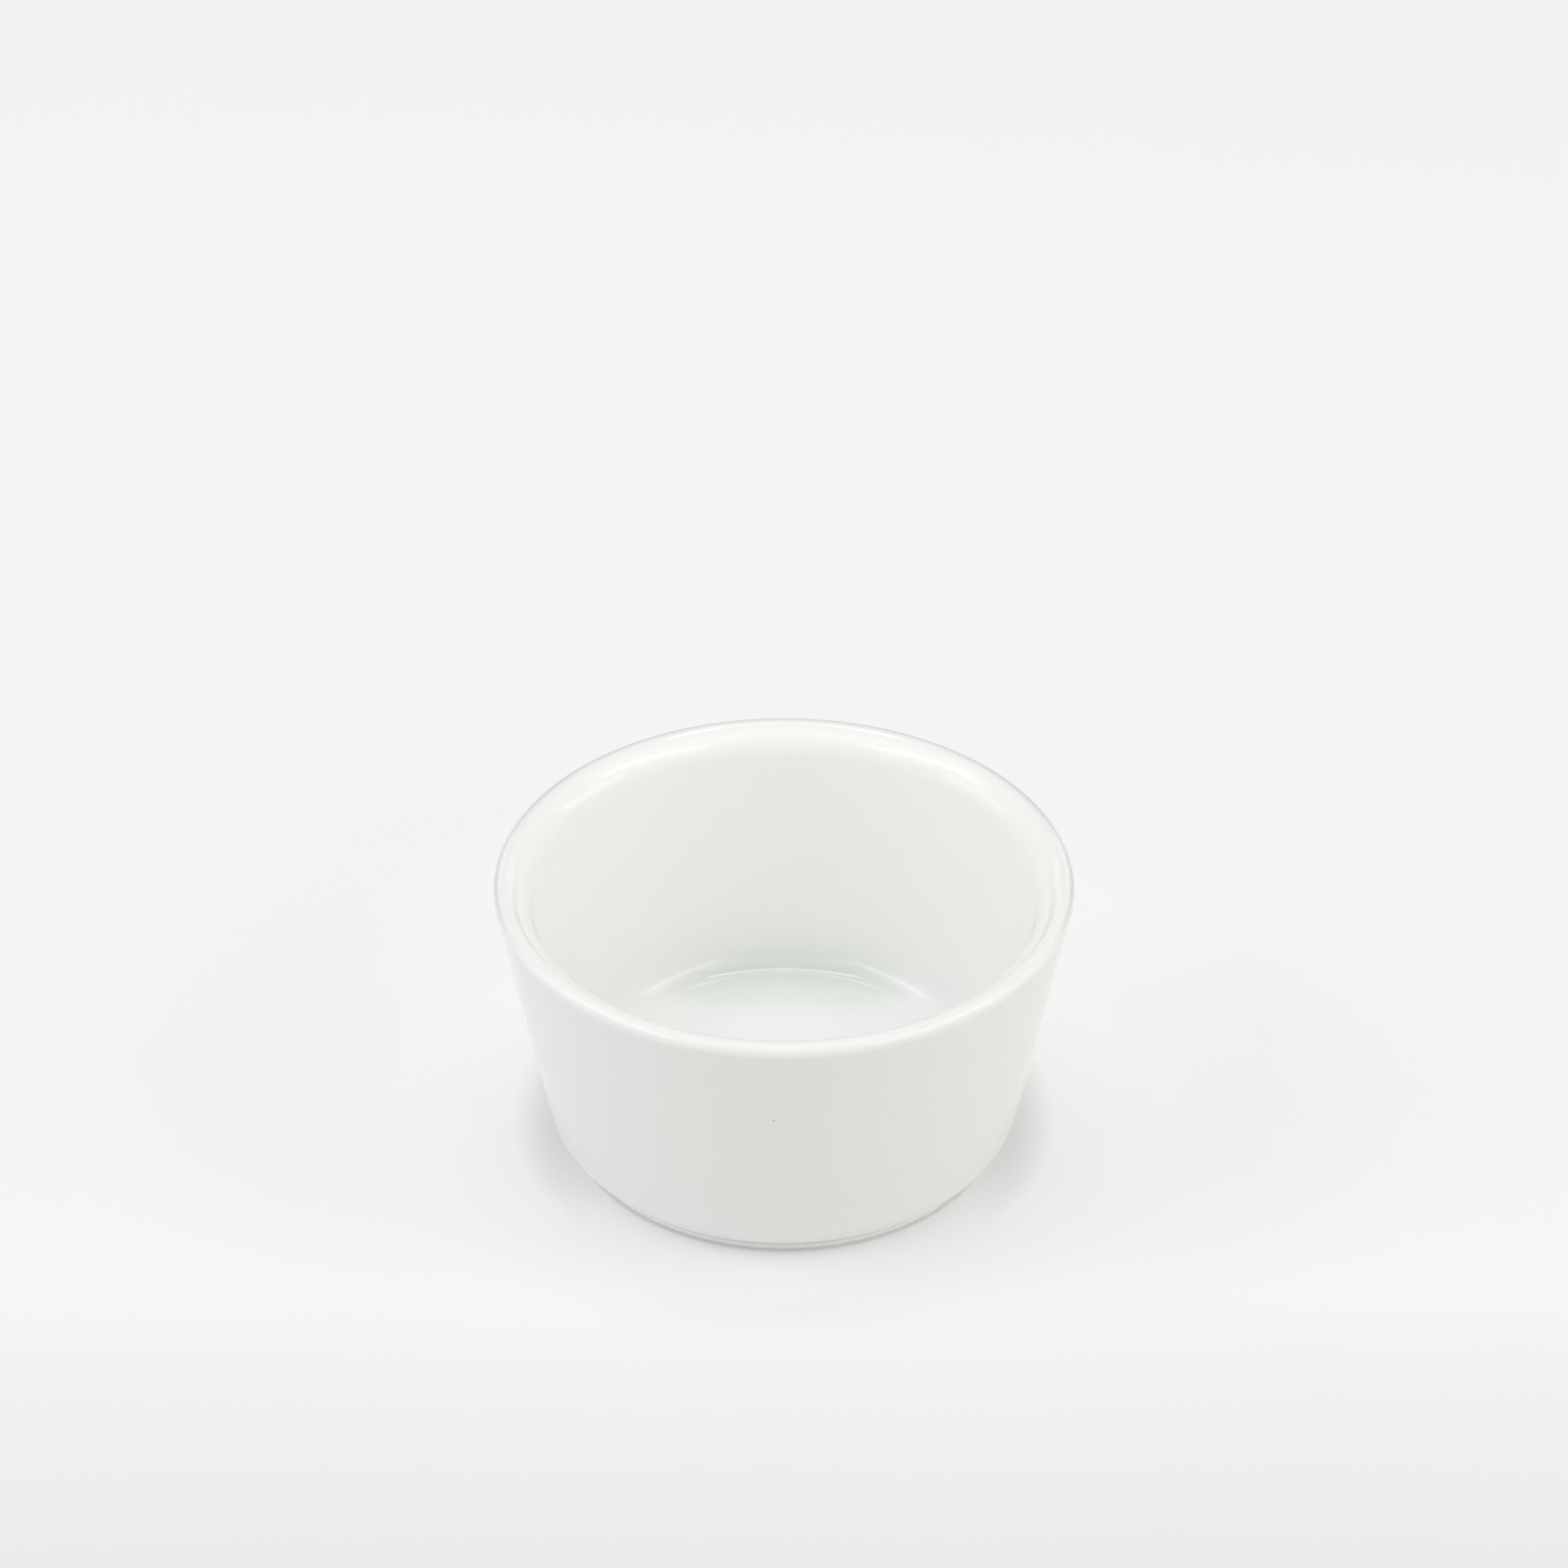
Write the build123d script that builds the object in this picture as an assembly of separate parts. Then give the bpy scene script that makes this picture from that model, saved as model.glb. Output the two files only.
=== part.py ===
from build123d import *
from math import asin, cos, radians, sin
import os

# A round porcelain ramekin, in millimetres.
# +Z is up. The origin is on the axis, in the plane that the foot stands on.
# Every piece is turned about Z from a half-section in the XZ plane, where X is the radius.

# Whole dish
rim_diameter = 80.0
height = 41.8
wall_lean = 10.25  # degrees that the wall leans outward from upright

# Wall and base, measured over the glaze
wall_thickness = 4.4
base_thickness = 3.35
rim_radius = 1.4  # over the top of the wall
lip_radius = 5.5  # easier curve that leads from the rim into the dish
corner_radius = 4.3  # outside, where the wall turns under
cove_radius = 5.0  # inside, where the wall runs into the floor

# Foot ring, measured over the glaze
foot_inset = 2.25  # in from where the wall's outside, run straight on, would meet the underside
foot_width = 3.2
foot_height = 1.5
foot_edge_radius = 0.25  # smoothed edges of the bare standing face
foot_crease_radius = 0.3  # glaze gathered where the foot meets the underside
well_fillet_radius = 0.7  # inside the foot ring

# Glaze
glaze_thickness = 0.25
dry_height = 0.55  # band of the foot that is wiped clean of glaze, up from the table
glaze_edge_radius = 0.15  # rounded lip where the glaze ends

overrun = 1.0  # how far a cutting shape passes what it cuts

# Values that follow from those above
floor_height = foot_height + base_thickness
wall_inside = rim_radius - wall_thickness  # the wall's inside, measured out from the rim's centre
up_wall = Vector(sin(radians(wall_lean)), cos(radians(wall_lean)))
out_of_wall = Vector(cos(radians(wall_lean)), -sin(radians(wall_lean)))
rim_centre = Vector(rim_diameter / 2 - rim_radius, height - rim_radius)

# The rim's arc hands over to the lip's where a line from both centres leans in by lip_start
lip_start = asin((rim_radius + lip_radius - wall_thickness) / (lip_radius - rim_radius)) - radians(wall_lean)
to_lip_start = Vector(-sin(lip_start), cos(lip_start))
lip_centre = rim_centre - to_lip_start * (lip_radius - rim_radius)


def point_on_wall(face_offset, level):
    """The point at a level on a line that runs parallel to the wall's middle line."""
    start = rim_centre + out_of_wall * face_offset
    return start + up_wall * ((level - start.Y) / up_wall.Y)


foot_radius = point_on_wall(rim_radius, foot_height).X - foot_inset
foot_bore_radius = foot_radius - foot_width
corner_centre = point_on_wall(rim_radius - corner_radius, foot_height + corner_radius)
cove_centre = point_on_wall(wall_inside - cove_radius, floor_height + cove_radius)


def bowl_section(depth):
    """Half-section of wall and base without the foot, its faces set back by depth."""
    rim_arc_radius = rim_radius - depth
    lip_arc_radius = lip_radius - depth
    corner_arc_radius = corner_radius - depth
    cove_arc_radius = cove_radius + depth
    floor = floor_height - depth
    underside = foot_height + depth

    rim_outside = rim_centre + out_of_wall * rim_arc_radius
    rim_top = rim_centre + (out_of_wall + to_lip_start).normalized() * rim_arc_radius
    lip_top = rim_centre + to_lip_start * rim_arc_radius
    lip_middle = lip_centre + (to_lip_start - out_of_wall).normalized() * lip_arc_radius
    lip_bottom = lip_centre - out_of_wall * lip_arc_radius
    corner_top = corner_centre + out_of_wall * corner_arc_radius
    corner_middle = corner_centre + (out_of_wall - up_wall).normalized() * corner_arc_radius
    corner_bottom = Vector(corner_centre.X, underside)
    cove_top = cove_centre + out_of_wall * cove_arc_radius
    cove_middle = cove_centre + (out_of_wall - up_wall).normalized() * cove_arc_radius
    cove_bottom = Vector(cove_centre.X, floor)

    outline = [
        Line((0, underside), corner_bottom),
        ThreePointArc(corner_bottom, corner_middle, corner_top),
        Line(corner_top, rim_outside),
        ThreePointArc(rim_outside, rim_top, lip_top),
        ThreePointArc(lip_top, lip_middle, lip_bottom),
        Line(lip_bottom, cove_top),
        ThreePointArc(cove_top, cove_middle, cove_bottom),
        Line(cove_bottom, (0, floor)),
        Line((0, floor), (0, underside)),
    ]
    return make_face(Curve() + outline)


def band(inner_radius, outer_radius, bottom, top):
    """A rectangle of the half-section."""
    width = outer_radius - inner_radius
    return Pos(inner_radius, bottom) * Rectangle(width, top - bottom, align=(Align.MIN, Align.MIN))


def dish_section(depth):
    """Half-section with the foot ring, whose standing face is never set back."""
    inner_side = foot_bore_radius + depth
    outer_side = foot_radius - depth
    mid_base = foot_height + base_thickness / 2
    section = bowl_section(depth) + band(inner_side, outer_side, 0, mid_base)

    # the creases where the foot leaves the underside, outside and inside the ring
    low_corners = [v for v in section.vertices() if 0 < v.Y < mid_base]
    outer_crease = min(low_corners, key=lambda v: abs(v.X - outer_side))
    section = fillet(outer_crease, foot_crease_radius + depth)
    low_corners = [v for v in section.vertices() if 0 < v.Y < mid_base]
    inner_crease = min(low_corners, key=lambda v: abs(v.X - inner_side))
    return fillet(inner_crease, well_fillet_radius + depth)


def turned(section):
    """The solid that a half-section makes when it is turned about Z."""
    return revolve(Plane.XZ * section, Axis.Z)


def porcelain_body():
    """The fired clay: wall, base and foot ring in one piece, bare on the standing face."""
    section = dish_section(glaze_thickness)
    standing_edges = section.vertices().group_by(Axis.Y)[0]
    return turned(fillet(standing_edges, foot_edge_radius))


def glaze_sections():
    """What lies between the glazed faces and the clay, above the wiped band of the foot."""
    wiped_band = band(0, rim_diameter, -overrun, dry_height)
    glaze = dish_section(0) - dish_section(glaze_thickness) - wiped_band
    return [Sketch() + face for face in glaze.faces().sort_by(Axis.X)]


def rounded_lip(section, side):
    """A glaze section with the corner rounded where it ends on the given side of the foot."""
    end = section.vertices().group_by(Axis.Y)[0]
    lip = min(end, key=lambda v: abs(v.X - side))
    return fillet(lip, glaze_edge_radius)


well_section, coat_section = glaze_sections()

parts = {
    "porcelain_body": porcelain_body(),
    "glaze_coat": turned(rounded_lip(coat_section, foot_radius)),
    "foot_well_glaze": turned(rounded_lip(well_section, foot_bore_radius)),
}

os.makedirs("parts", exist_ok=True)
for name, solid in parts.items():
    solid.label = name
    export_step(solid, f"parts/{name}.step")
    print(name, round(solid.volume), "mm3")
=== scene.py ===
import math

import bpy
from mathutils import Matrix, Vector


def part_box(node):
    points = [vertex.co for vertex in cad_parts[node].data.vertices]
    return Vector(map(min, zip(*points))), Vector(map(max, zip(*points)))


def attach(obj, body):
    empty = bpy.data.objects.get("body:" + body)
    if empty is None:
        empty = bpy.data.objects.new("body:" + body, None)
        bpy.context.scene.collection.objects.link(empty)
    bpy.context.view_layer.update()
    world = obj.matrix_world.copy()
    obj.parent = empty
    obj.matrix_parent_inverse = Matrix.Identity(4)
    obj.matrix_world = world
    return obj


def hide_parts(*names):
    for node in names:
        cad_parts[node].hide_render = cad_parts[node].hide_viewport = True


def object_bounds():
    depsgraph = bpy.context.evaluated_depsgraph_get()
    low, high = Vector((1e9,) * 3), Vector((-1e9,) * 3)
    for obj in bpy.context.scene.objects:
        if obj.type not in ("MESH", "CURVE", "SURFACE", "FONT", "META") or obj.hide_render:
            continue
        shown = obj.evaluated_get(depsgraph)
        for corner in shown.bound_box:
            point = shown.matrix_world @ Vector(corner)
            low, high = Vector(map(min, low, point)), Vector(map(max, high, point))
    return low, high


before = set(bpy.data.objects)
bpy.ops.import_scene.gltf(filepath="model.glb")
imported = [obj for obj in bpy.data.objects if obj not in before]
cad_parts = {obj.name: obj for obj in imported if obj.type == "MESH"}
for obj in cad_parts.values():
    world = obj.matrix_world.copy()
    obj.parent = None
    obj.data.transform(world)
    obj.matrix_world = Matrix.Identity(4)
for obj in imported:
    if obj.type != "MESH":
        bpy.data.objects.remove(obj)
cadLow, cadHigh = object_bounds()
print("frame loaded:", ", ".join(sorted(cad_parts)))

mm = 0.001


def hexToLinear(code):
    # the sRGB curve, undone
    channels = [int(code[i:i + 2], 16) / 255 for i in (0, 2, 4)]
    linear = [c / 12.92 if c <= 0.04045 else ((c + 0.055) / 1.055) ** 2.4 for c in channels]
    return (*linear, 1.0)


def addNode(tree, kind, settings=None, links=None):
    # settings are properties or values of sockets, links are sockets of other nodes
    node = tree.nodes.new(kind)
    for key, value in (settings or {}).items():
        if isinstance(key, int) or key in node.inputs:
            node.inputs[key].default_value = value
        else:
            setattr(node, key, value)
    for key, source in (links or {}).items():
        tree.links.new(source, node.inputs[key])
    return node


# The dish's section, in mm. Where it says so, a size is read from the frame.
coatLow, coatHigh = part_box("glaze_coat")
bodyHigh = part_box("porcelain_body")[1]
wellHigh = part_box("foot_well_glaze")[1]
glazeDepth = (coatHigh.z - bodyHigh.z) / mm
dish = {
    "rimRadius": cadHigh.x / mm,  # from the frame
    "height": cadHigh.z / mm,  # from the frame
    "glaze": glazeDepth,  # from the frame
    "dryHeight": coatLow.z / mm,  # from the frame: the wiped band of the foot
    "boreRadius": wellHigh.x / mm - glazeDepth,  # from the frame: inside the foot ring
    "wallLean": 10.25,  # degrees outward from upright
    "wall": 4.4,
    "rimEdge": 1.4,  # radius over the top of the wall
    "lipEase": 5.5,  # easier radius that leads from the rim into the dish
    "base": 3.35,
    "corner": 4.3,  # radius outside, where the wall turns under
    "cove": 5.0,  # radius inside, where the wall runs into the floor
    "footWidth": 3.2,
    "footHeight": 1.5,
    "footEdge": 0.25,  # radius of the standing face's two edges
    "footCrease": 0.3,  # radius where the foot leaves the body, outside
    "wellFillet": 0.7,  # and inside the ring
    "glazeEnd": 0.15,  # radius of the glaze's rounded end
}
lathe = {
    "segments": 288,  # round the axis
    "arcStep": 5.0,  # degrees between points on an arc of the section
    "lineStep": 2.0,  # mm between points on a straight stretch
    "sameGap": 0.001,  # mm, points closer than this are one
}


def arc(centre, radius, start, end):
    count = max(2, math.ceil(abs(end - start) / lathe["arcStep"]))
    angles = [math.radians(start + (end - start) * i / count) for i in range(count + 1)]
    return [(centre[0] + radius * math.cos(a), centre[1] + radius * math.sin(a)) for a in angles]


def line(start, end):
    count = max(1, math.ceil(math.dist(start, end) / lathe["lineStep"]))
    return [(start[0] + (end[0] - start[0]) * i / count, start[1] + (end[1] - start[1]) * i / count)
            for i in range(count + 1)]


def joined(*runs):
    path = []
    for run in runs:
        for point in run:
            if not path or math.dist(path[-1], point) > lathe["sameGap"]:
                path.append(point)
    return path


# Centres of the section's arcs, as (radius, level), and the angles at which one arc hands over to the next
lean = math.radians(dish["wallLean"])
wallAngle = -dish["wallLean"]  # direction in which the wall's outside faces
floorLevel = dish["footHeight"] + dish["base"]
footRadius = dish["boreRadius"] + dish["footWidth"]
rimEdge = dish["rimEdge"]
lipEase = dish["lipEase"]
rimCentre = (dish["rimRadius"] - rimEdge, dish["height"] - rimEdge)
easeTurn = math.asin((rimEdge + lipEase - dish["wall"]) / (lipEase - rimEdge))
easeAngle = 90 - dish["wallLean"] + math.degrees(easeTurn)
easeCentre = (rimCentre[0] - (lipEase - rimEdge) * math.cos(math.radians(easeAngle)),
              rimCentre[1] - (lipEase - rimEdge) * math.sin(math.radians(easeAngle)))


def onWall(offset, level):
    # the point at a level on a line that runs along the wall, offset outward from the rim's centre
    startRadius = rimCentre[0] + math.cos(lean) * offset
    startLevel = rimCentre[1] - math.sin(lean) * offset
    return (startRadius + (level - startLevel) * math.tan(lean), level)


cornerCentre = onWall(rimEdge - dish["corner"], dish["footHeight"] + dish["corner"])
coveCentre = onWall(rimEdge - dish["wall"] - dish["cove"], floorLevel + dish["cove"])
creaseReach = dish["corner"] + dish["footCrease"]
creaseRadius = footRadius + dish["footCrease"]
creaseDrop = math.sqrt(creaseReach ** 2 - (creaseRadius - cornerCentre[0]) ** 2)
creaseCentre = (creaseRadius, cornerCentre[1] - creaseDrop)
creaseAngle = math.degrees(math.atan2(creaseCentre[1] - cornerCentre[1], creaseCentre[0] - cornerCentre[0]))


def insidePath(depth):
    # from the middle of the floor up the inside wall and over the rim, set back by depth
    cove = arc(coveCentre, dish["cove"] + depth, -90, wallAngle)
    ease = arc(easeCentre, lipEase - depth, 180 + wallAngle, easeAngle)
    rim = arc(rimCentre, rimEdge - depth, easeAngle, wallAngle)
    return joined(line((0, floorLevel - depth), cove[0]), cove, line(cove[-1], ease[0]), ease, rim)


def outsidePath(depth):
    # from the rim down the outside wall, round the corner and down the crease to the foot's side
    corner = arc(cornerCentre, dish["corner"] - depth, wallAngle, creaseAngle)
    crease = arc(creaseCentre, dish["footCrease"] + depth, creaseAngle + 180, 180)
    top = insidePath(depth)[-1]
    return joined(line(top, corner[0]), corner, crease)


def wellPath(depth):
    # from the middle of the well out to the inner side of the foot
    fillet = arc((dish["boreRadius"] - dish["wellFillet"], dish["footHeight"] - dish["wellFillet"]),
                 dish["wellFillet"] + depth, 90, 0)
    return joined(line((0, dish["footHeight"] + depth), fillet[0]), fillet)


def coatLoop():
    end = arc((footRadius - dish["glazeEnd"], dish["dryHeight"] + dish["glazeEnd"]), dish["glazeEnd"], 0, -90)
    clay = joined(insidePath(dish["glaze"]), outsidePath(dish["glaze"]))
    return joined(insidePath(0), outsidePath(0), end,
                  [(footRadius - dish["glaze"], dish["dryHeight"])], reversed(clay))


def wellLoop():
    end = arc((dish["boreRadius"] + dish["glazeEnd"], dish["dryHeight"] + dish["glazeEnd"]),
              dish["glazeEnd"], 180, 270)
    clay = reversed(wellPath(dish["glaze"]))
    return joined(clay, [(dish["boreRadius"] + dish["glaze"], dish["dryHeight"])],
                  reversed(end), reversed(wellPath(0)))


def bodyLoop():
    depth, edge = dish["glaze"], dish["footEdge"]
    outer = arc((footRadius - depth - edge, edge), edge, 0, -90)
    inner = arc((dish["boreRadius"] + depth + edge, edge), edge, -90, -180)
    clay = joined(insidePath(depth), outsidePath(depth))
    well = wellPath(depth)
    return joined(clay, line(clay[-1], outer[0]), outer, line(outer[-1], inner[0]), inner,
                  line(inner[-1], well[-1]), reversed(well))


def turnedMesh(name, loop):
    # one ring of points for each point of the section, and a single point where it meets the axis
    segments = lathe["segments"]
    verts, rings = [], []
    for radius, level in loop:
        if radius < lathe["sameGap"]:
            rings.append([len(verts)] * segments)
            verts.append((0, 0, level * mm))
            continue
        rings.append(list(range(len(verts), len(verts) + segments)))
        for i in range(segments):
            turn = 2 * math.pi * i / segments
            verts.append((radius * mm * math.cos(turn), radius * mm * math.sin(turn), level * mm))
    faces = []
    for low, high in zip(rings, rings[1:]):
        for i in range(segments):
            j = (i + 1) % segments
            corners = []
            for corner in (low[i], high[i], high[j], low[j]):
                if corner not in corners:
                    corners.append(corner)
            faces.append(corners)
    mesh = bpy.data.meshes.new(name)
    mesh.from_pydata(verts, [], faces)
    mesh.validate()
    mesh.shade_smooth()
    piece = bpy.data.objects.new(name, mesh)
    bpy.context.scene.collection.objects.link(piece)
    return piece


# glazed porcelain: clear glaze fired over white clay, so a glossy coat through which the clay's white shows
glazeLook = {
    "colour": "F5F6F2",
    "floor": "F5F5FB",  # a little cooler on the flat inside floor
    "spreadShade": "E8EDE8",  # painted shade on the far side, here on the floor by the cove, greener where the glaze has run together
    "pooledShade": "DFE4DD",  # and here, deeper, in the cove: the same painted shade with greener glaze
    "rim": "EEEFEC",  # a shade darker over the top of the rim
    "edge": "D6D6D8",  # painted shade: a dark line along the rim's outer edge, where it shows as the outline on the far side and the sides
    "foot": "FBFBF9",  # whiter at the wiped foot, where the white clay shows most, and lighter there as painted light on the foot's side
    "crease": "989F9C",  # painted shade: a dark line in the crease between body and foot, where glaze has also gathered
    "speck": "6C7278",  # iron speck under the glaze
    "roughness": 0.08,
    "ior": 1.5,
    "floorReach": 40,  # mm from its middle to where a shade has faded out, as the reaches below
    "spreadReach": 8.5,
    "spreadInset": 0.95,  # mm in from the edge of the flat floor
    "poolShadeReach": 4.2,
    "poolShadeTurn": 30,  # degrees up the cove from the floor, the middle of the painted shade and pooled glaze
    "farShadeSide": (0.7, 1.0),  # cosine of the turn from the far side, where this painted shade sets in and is full
    "rimReach": 2.2,
    "edges": [  # the painted dark lines along the outline: degrees up round the rim's arc, reach, and the same cosine for that line
        (65, 1.2, (0.1, 0.5)),
        (35, 0.8, (-0.5, 0.0)),
    ],
    "footReach": 1.3,
    "creaseReach": 0.7,
    "speckReach": 0.2,
    "speckPlace": (-1.36, -37.85, 28.5),  # mm, on the front of the wall
    "wave": 3.5,  # mm between the soft waves of the fired surface
    "waveDetail": 1.0,
    "waveDepth": 0.004,  # mm
}


def fade(tree, point, centre, reach, start=0):
    # 1 up to start from the centre, falling to 0 at reach from it, all in mm
    away = addNode(tree, "ShaderNodeVectorMath",
                   {"operation": "DISTANCE", 1: tuple(v * mm for v in centre)}, {0: point})
    share = addNode(tree, "ShaderNodeMapRange",
                    {"interpolation_type": "SMOOTHSTEP", "From Min": start * mm, "From Max": reach * mm,
                     "To Min": 1, "To Max": 0}, {"Value": away.outputs["Value"]})
    return share.outputs["Result"]


def glazeShades(tree, place):
    # each shade with its share of the colour at a place, from the lowest layer to the highest
    look = glazeLook
    axes = addNode(tree, "ShaderNodeSeparateXYZ", links={0: place})
    flat = addNode(tree, "ShaderNodeVectorMath", {"operation": "MULTIPLY", 1: (1, 1, 0)}, {0: place})
    radius = addNode(tree, "ShaderNodeVectorMath", {"operation": "LENGTH"}, {0: flat.outputs["Vector"]})
    section = addNode(tree, "ShaderNodeCombineXYZ",
                      links={"X": radius.outputs["Value"], "Z": axes.outputs["Z"]}).outputs["Vector"]
    # 1 straight behind the axis, 0 at the sides, -1 in front
    farTurn = addNode(tree, "ShaderNodeMath", {"operation": "DIVIDE"},
                      {0: axes.outputs["Y"], 1: radius.outputs["Value"]})

    # middles of the painted shade, with its greener glaze, on the floor by the cove and in the cove
    spreadShadeMiddle = (coveCentre[0] - look["spreadInset"], 0, floorLevel)
    poolShadeTurn = math.radians(look["poolShadeTurn"])
    pooledShadeMiddle = (coveCentre[0] + dish["cove"] * math.sin(poolShadeTurn), 0,
                coveCentre[1] - dish["cove"] * math.cos(poolShadeTurn))
    edges = []
    # the painted dark lines of shade along the rim's outline
    for rise, reach, side in look["edges"]:
        rise = math.radians(rise)
        onRim = (rimCentre[0] + rimEdge * math.cos(rise), 0, rimCentre[1] + rimEdge * math.sin(rise))
        edges.append(("edge", onRim, reach, side))
    layers = [  # shade, its middle on the section, its reach, and the side that it keeps to
        ("floor", (0, 0, floorLevel), look["floorReach"], None),
        ("spreadShade", spreadShadeMiddle, look["spreadReach"], look["farShadeSide"]),
        ("pooledShade", pooledShadeMiddle, look["poolShadeReach"], look["farShadeSide"]),
        ("rim", (rimCentre[0], 0, dish["height"]), look["rimReach"], None),
        *edges,
        # the foot whiter: clay showing through, and painted light
        ("foot", (footRadius, 0, dish["dryHeight"]), look["footReach"], None),
        # painted shade in the crease
        ("crease", (creaseCentre[0], 0, creaseCentre[1]), look["creaseReach"], None),
    ]
    shares = []
    for shade, middle, reach, side in layers:
        share = fade(tree, section, middle, reach)
        if side:
            kept = addNode(tree, "ShaderNodeMapRange",
                           {"interpolation_type": "SMOOTHSTEP", "From Min": side[0], "From Max": side[1]},
                           {"Value": farTurn.outputs[0]})
            share = addNode(tree, "ShaderNodeMath", {"operation": "MULTIPLY"},
                            {0: share, 1: kept.outputs["Result"]}).outputs[0]
        shares.append((shade, share))
    shares.append(("speck", fade(tree, place, look["speckPlace"], look["speckReach"])))
    return shares


def glazedPorcelain():
    look = glazeLook
    material = bpy.data.materials.new("glazedPorcelain")
    material.use_nodes = True
    tree = material.node_tree
    shader = tree.nodes["Principled BSDF"]
    shader.inputs["Roughness"].default_value = look["roughness"]
    shader.inputs["IOR"].default_value = look["ior"]

    place = addNode(tree, "ShaderNodeTexCoord").outputs["Object"]
    colour = None
    for shade, share in glazeShades(tree, place):
        below = {6: colour} if colour else {}  # the glaze's own colour lies under the first shade
        layer = addNode(tree, "ShaderNodeMix",
                        {"data_type": "RGBA", 6: hexToLinear(look["colour"]), 7: hexToLinear(look[shade])},
                        {0: share, **below})
        colour = layer.outputs[2]
    tree.links.new(colour, shader.inputs["Base Color"])

    waves = addNode(tree, "ShaderNodeTexNoise",
                    {"Scale": 1 / (look["wave"] * mm), "Detail": look["waveDetail"]}, {"Vector": place})
    bump = addNode(tree, "ShaderNodeBump", {"Distance": look["waveDepth"] * mm},
                   {"Height": waves.outputs["Fac"]})
    tree.links.new(bump.outputs["Normal"], shader.inputs["Normal"])
    return material


# bare porcelain: dense fired clay, smooth, matt and whiter than the glaze makes it look
bareLook = {"colour": "FAFAF7", "roughness": 0.6}


def barePorcelain():
    material = bpy.data.materials.new("barePorcelain")
    material.use_nodes = True
    shader = material.node_tree.nodes["Principled BSDF"]
    shader.inputs["Base Color"].default_value = hexToLinear(bareLook["colour"])
    shader.inputs["Roughness"].default_value = bareLook["roughness"]
    return material


glazed = glazedPorcelain()
bare = barePorcelain()
print("materials mixed")
for name, loop, node, slot, material in [
    ("glazeCoat", coatLoop(), "glaze_coat", "glaze", glazed),
    ("footWellGlaze", wellLoop(), "foot_well_glaze", "glaze", glazed),
    ("porcelainBody", bodyLoop(), "porcelain_body", "bare_porcelain", bare),
]:
    piece = turnedMesh(name, loop)
    piece.data.materials.append(material)
    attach(piece, "root")
    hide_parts(node)
print("pieces turned")

# a pale sweep of matt paper inside a soft tent, which is open low down behind the dish
studio = {
    "floorSize": 3.0,  # m
    "floorBounce": "D8D8D8",  # what the paper sends on to the dish
    "bounceNear": "F8F8F8",  # and close round the foot, lighter: painted light that the paper sends to the foot's side
    "bounceReach": (33, 42),  # mm from the axis, where that begins to fall and where it ends
    "floorTones": [  # what the camera sees of the paper, by mm from the axis, front to back
        (-120, "CECECE"), (-90, "D1D1D1"), (-55, "D7D7D7"), (-40, "DCDCDC"),
        (0, "DBDBDB"), (70, "DBDBDB"), (300, "E0E0E0"),
    ],
    "floorNear": "EEEEEE",  # and close to the dish, but for the front, lighter: painted light that takes back part of the dish's wide shade on the paper
    "nearCentre": 25,  # mm behind the axis
    "nearReach": (100, 65),  # mm to the side and along
    "floorGlow": 0.25,  # light that the camera sees the paper give, with white as 1
    "shadeReach": 7,  # mm that the leaning wall shades the paper beside it
    "shadeSamples": 8,
    "shadeShare": 0.42,
    "shadeSide": (24, 36),  # mm to the side of the axis, where this sets in and where it is full
    "contactShare": 0.2,  # painted shade: the thin dark line where the foot stands
    "contactReach": 0.45,  # mm
    "tentStrength": 0.6,
    "openStrength": 0.15,  # of the gap in the tent behind the dish
    "openSide": (0.75, 0.95),  # cosine of the angle from straight behind, where the gap sets in and is full
    "lampDistance": 0.8,  # m
}
# Softboxes round the dish: degrees round from behind, degrees up from the floor, width and height in m,
# brightness with white as 1, colour. Each side has a bright strip in a wide glow.
softboxes = {
    "sideRight": (116, 43, 0.60, 0.14, 2.6, "FFFFF8"),
    "glowRight": (116, 43, 0.80, 0.60, 0.62, "FFFFF8"),
    "sideLeft": (-109, 46, 0.60, 0.14, 2.8, "F8FBFF"),
    "glowLeft": (-109, 46, 0.80, 0.60, 0.68, "F8FBFF"),
    "topMiddle": (0, 83, 0.50, 0.07, 4.7, "FFFFFF"),
    "bankFront": (180, 62, 0.60, 0.30, 0.46, "FFFFFF"),
    "lowBack": (0, 25, 0.9, 0.25, 0.71, "FFFFFF"),
    "lowRight": (90, 18, 0.5, 0.25, 1.15, "FFFFF8"),
    "lowLeft": (-90, 18, 0.5, 0.25, 1.04, "F8FBFF"),
}


def paperTone(tree, place, axes):
    # the paper's colour to the camera, before any shade falls on it, with painted light close to the dish but
    # for the front
    tones = studio["floorTones"]
    front, back = tones[0][0], tones[-1][0]
    along = addNode(tree, "ShaderNodeMapRange", {"From Min": front * mm, "From Max": back * mm},
                    {"Value": axes.outputs["Y"]})
    ramp = addNode(tree, "ShaderNodeValToRGB", links={"Fac": along.outputs["Result"]})
    stops = ramp.color_ramp.elements
    while len(stops) < len(tones):
        stops.new(1.0)
    for stop, (level, code) in zip(stops, tones):
        stop.position = (level - front) / (back - front)
        stop.color = hexToLinear(code)
    aside, ahead = studio["nearReach"]
    squeeze = aside / ahead
    oval = addNode(tree, "ShaderNodeVectorMath", {"operation": "MULTIPLY", 1: (1, squeeze, 1)}, {0: place})
    near = fade(tree, oval.outputs["Vector"], (0, studio["nearCentre"] * squeeze, 0), aside)
    tone = addNode(tree, "ShaderNodeMix", {"data_type": "RGBA", 7: hexToLinear(studio["floorNear"])},
                   {0: near, 6: ramp.outputs["Color"]})
    return tone.outputs[2]


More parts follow.
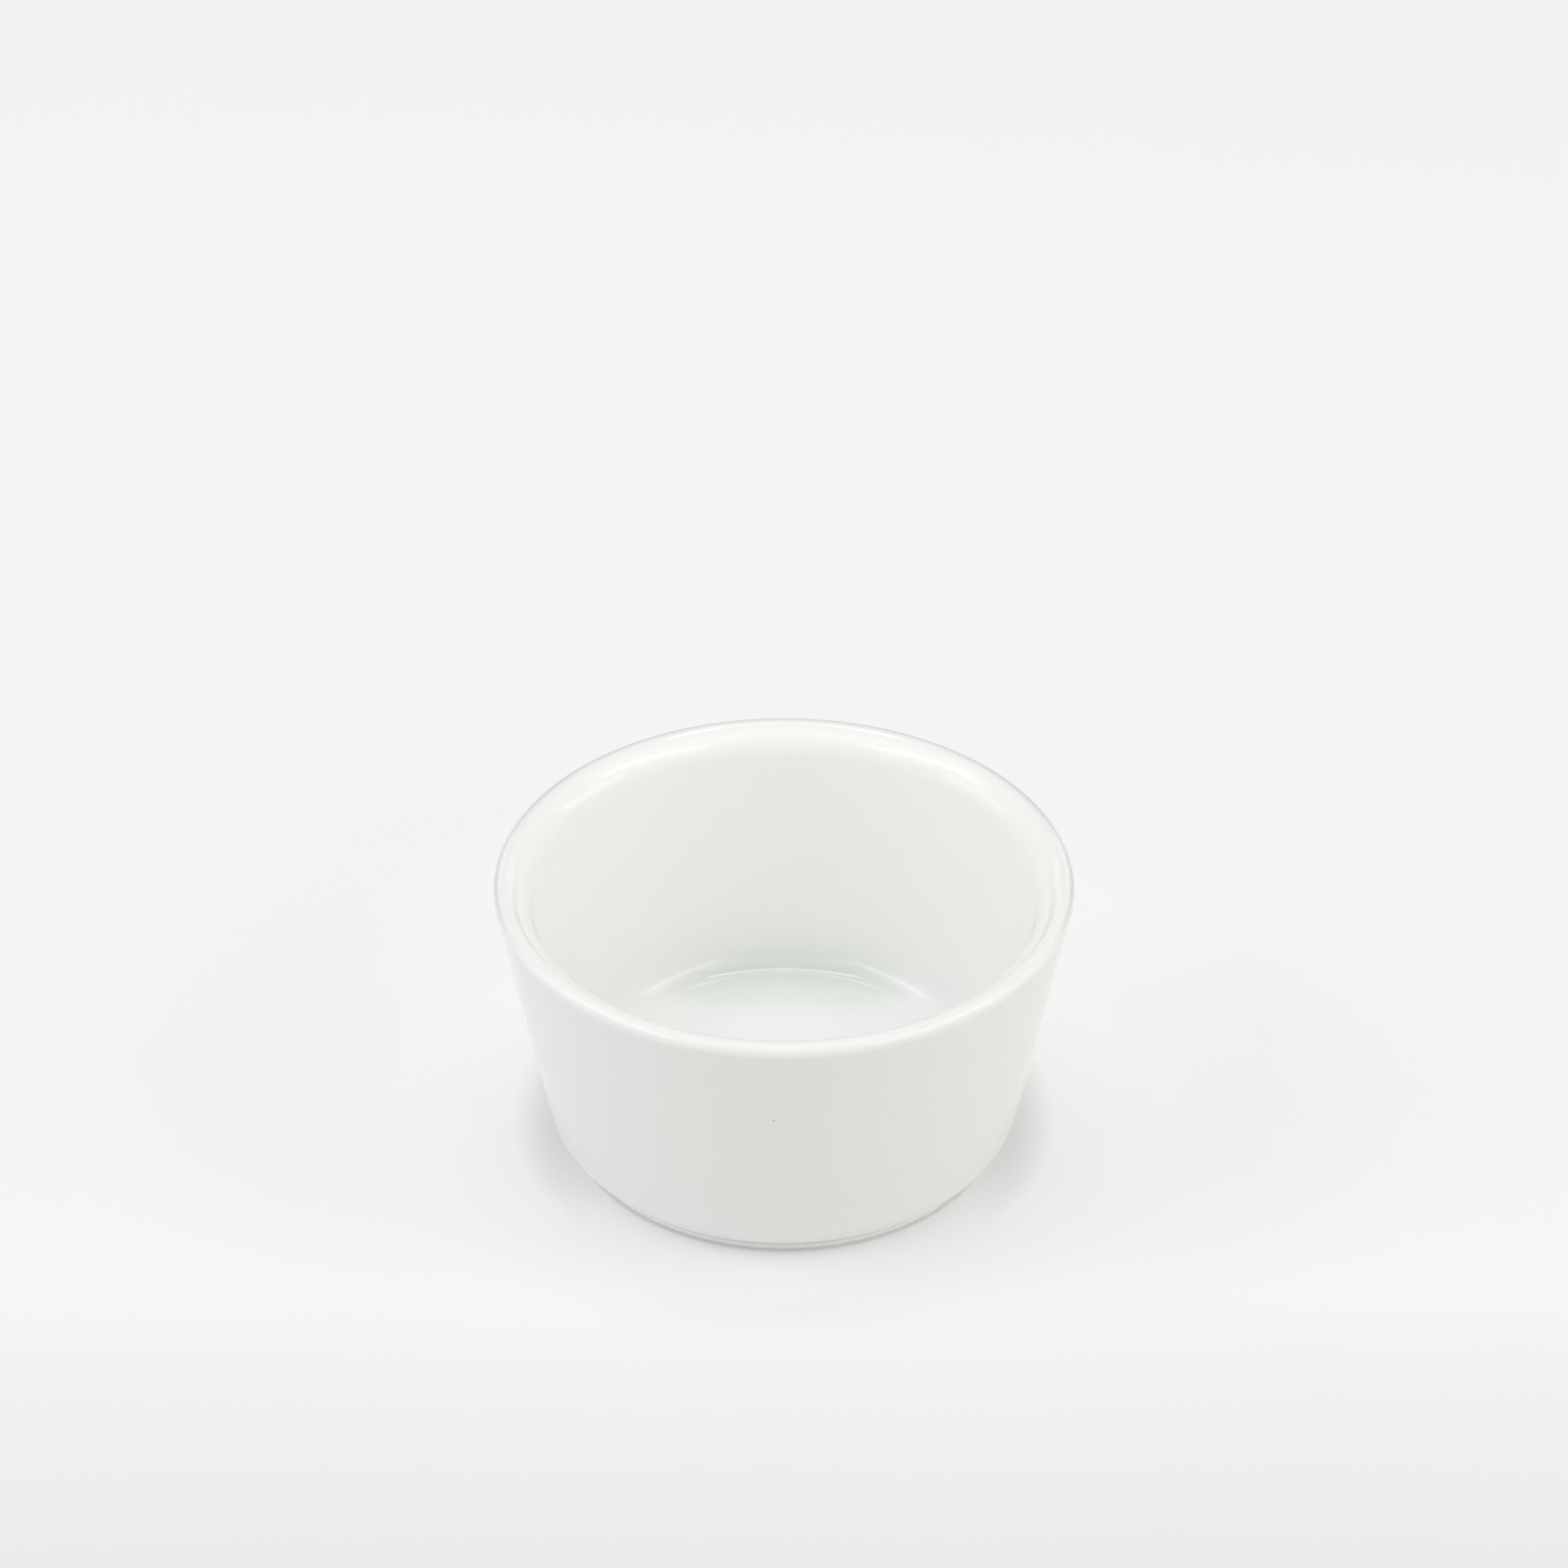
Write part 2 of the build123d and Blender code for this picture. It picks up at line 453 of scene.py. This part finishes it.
def paperShade(tree, place, axes):
    # the shade that the leaning wall keeps on the paper at both sides, and the line where the foot stands
    nook = addNode(tree, "ShaderNodeAmbientOcclusion",
                   {"Distance": studio["shadeReach"] * mm, "samples": studio["shadeSamples"]})
    closed = addNode(tree, "ShaderNodeMath", {"operation": "SUBTRACT", 0: 1.0}, {1: nook.outputs["AO"]})
    aside = addNode(tree, "ShaderNodeMath", {"operation": "ABSOLUTE"}, {0: axes.outputs["X"]})
    start, full = studio["shadeSide"]
    side = addNode(tree, "ShaderNodeMapRange",
                   {"interpolation_type": "SMOOTHSTEP", "From Min": start * mm, "From Max": full * mm,
                    "To Max": studio["shadeShare"]}, {"Value": aside.outputs[0]})
    under = addNode(tree, "ShaderNodeMath", {"operation": "MULTIPLY"},
                    {0: closed.outputs[0], 1: side.outputs["Result"]})
    foot = fade(tree, place, (0, 0, 0), footRadius + studio["contactReach"], footRadius)
    contact = addNode(tree, "ShaderNodeMath", {"operation": "MULTIPLY", 1: studio["contactShare"]}, {0: foot})
    return addNode(tree, "ShaderNodeMath", {"operation": "MAXIMUM"},
                   {0: under.outputs[0], 1: contact.outputs[0]}).outputs[0]


def paperSweep():
    # matt paper, whose pale ground comes from its tone and from a glow that only camera and reflections see
    material = bpy.data.materials.new("paperSweep")
    material.use_nodes = True
    tree = material.node_tree
    tree.nodes.clear()
    place = addNode(tree, "ShaderNodeTexCoord").outputs["Object"]
    axes = addNode(tree, "ShaderNodeSeparateXYZ", links={0: place})

    held, ended = studio["bounceReach"]
    sent = addNode(tree, "ShaderNodeMix", {"data_type": "RGBA", 6: hexToLinear(studio["floorBounce"]),
                                           7: hexToLinear(studio["bounceNear"])},
                   {0: fade(tree, place, (0, 0, 0), ended, held)})
    bounce = addNode(tree, "ShaderNodeBsdfDiffuse", links={"Color": sent.outputs[2]})

    shaded = addNode(tree, "ShaderNodeMix", {"data_type": "RGBA", 7: (0, 0, 0, 1)},
                     {0: paperShade(tree, place, axes), 6: paperTone(tree, place, axes)})
    paper = addNode(tree, "ShaderNodeBsdfDiffuse", links={"Color": shaded.outputs[2]})
    glow = addNode(tree, "ShaderNodeEmission", {"Strength": studio["floorGlow"]},
                   {"Color": shaded.outputs[2]})
    ground = addNode(tree, "ShaderNodeAddShader", links={0: paper.outputs[0], 1: glow.outputs[0]})

    path = addNode(tree, "ShaderNodeLightPath")
    mirrored = addNode(tree, "ShaderNodeMath", {"operation": "MAXIMUM"},
                       {0: path.outputs["Is Glossy Ray"], 1: path.outputs["Is Transmission Ray"]})
    seen = addNode(tree, "ShaderNodeMath", {"operation": "MAXIMUM"},
                   {0: path.outputs["Is Camera Ray"], 1: mirrored.outputs[0]})
    mix = addNode(tree, "ShaderNodeMixShader",
                  links={0: seen.outputs[0], 1: bounce.outputs[0], 2: ground.outputs[0]})
    addNode(tree, "ShaderNodeOutputMaterial", links={"Surface": mix.outputs[0]})
    return material


def studioFloor():
    half = studio["floorSize"] / 2
    corners = [(-half, -half, 0), (half, -half, 0), (half, half, 0), (-half, half, 0)]
    mesh = bpy.data.meshes.new("studioFloor")
    mesh.from_pydata(corners, [], [(0, 1, 2, 3)])
    floor = bpy.data.objects.new("studioFloor", mesh)
    bpy.context.scene.collection.objects.link(floor)
    mesh.materials.append(paperSweep())


def softbox(name, azimuth, elevation, width, height, brightness, colour):
    light = bpy.data.lights.new(name, "AREA")
    light.shape = "RECTANGLE"
    light.size = width
    light.size_y = height
    light.energy = brightness * math.pi * width * height  # watts that make a face of this brightness
    light.color = hexToLinear(colour)[:3]
    turn, rise = math.radians(azimuth), math.radians(elevation)
    toLamp = Vector((math.sin(turn) * math.cos(rise), math.cos(turn) * math.cos(rise), math.sin(rise)))
    lamp = bpy.data.objects.new(name, light)
    lamp.location = toLamp * studio["lampDistance"]
    lamp.rotation_euler = toLamp.to_track_quat("Z", "Y").to_euler()
    bpy.context.scene.collection.objects.link(lamp)


def studioLight():
    world = bpy.data.worlds.new("softTent")
    world.use_nodes = True
    tree = world.node_tree
    sky = tree.nodes["Background"]
    sky.inputs["Color"].default_value = hexToLinear("FFFFFF")
    # the far edge of the rim mirrors the gap in the tent
    way = addNode(tree, "ShaderNodeTexCoord").outputs["Generated"]
    axes = addNode(tree, "ShaderNodeSeparateXYZ", links={0: way})
    start, full = studio["openSide"]
    strength = addNode(tree, "ShaderNodeMapRange",
                       {"interpolation_type": "SMOOTHSTEP", "From Min": start, "From Max": full,
                        "To Min": studio["tentStrength"], "To Max": studio["openStrength"]},
                       {"Value": axes.outputs["Y"]})
    tree.links.new(strength.outputs["Result"], sky.inputs["Strength"])
    bpy.context.scene.world = world
    for name, settings in softboxes.items():
        softbox(name, *settings)


# the camera looks down at the dish from in front, through a long lens
view = {
    "place": (0, -463.6, 368.4),  # mm
    "pitch": 33.93,  # degrees below level
    "focalPixels": 4200,  # focal length in pixels of the photo
    "imagePixels": 1600,  # its width
    "sensor": 36.0,  # mm
    "clipStart": 10,  # mm
}


def photoCamera():
    data = bpy.data.cameras.new("photoCamera")
    data.sensor_width = view["sensor"]
    data.lens = view["focalPixels"] / view["imagePixels"] * view["sensor"]
    data.clip_start = view["clipStart"] * mm
    camera = bpy.data.objects.new("photoCamera", data)
    camera.location = Vector(view["place"]) * mm
    camera.rotation_euler = (math.radians(90 - view["pitch"]), 0, 0)
    bpy.context.scene.collection.objects.link(camera)
    bpy.context.scene.camera = camera


studioFloor()
studioLight()
photoCamera()
bpy.context.scene.view_settings.view_transform = "Standard"
print("studio set up")
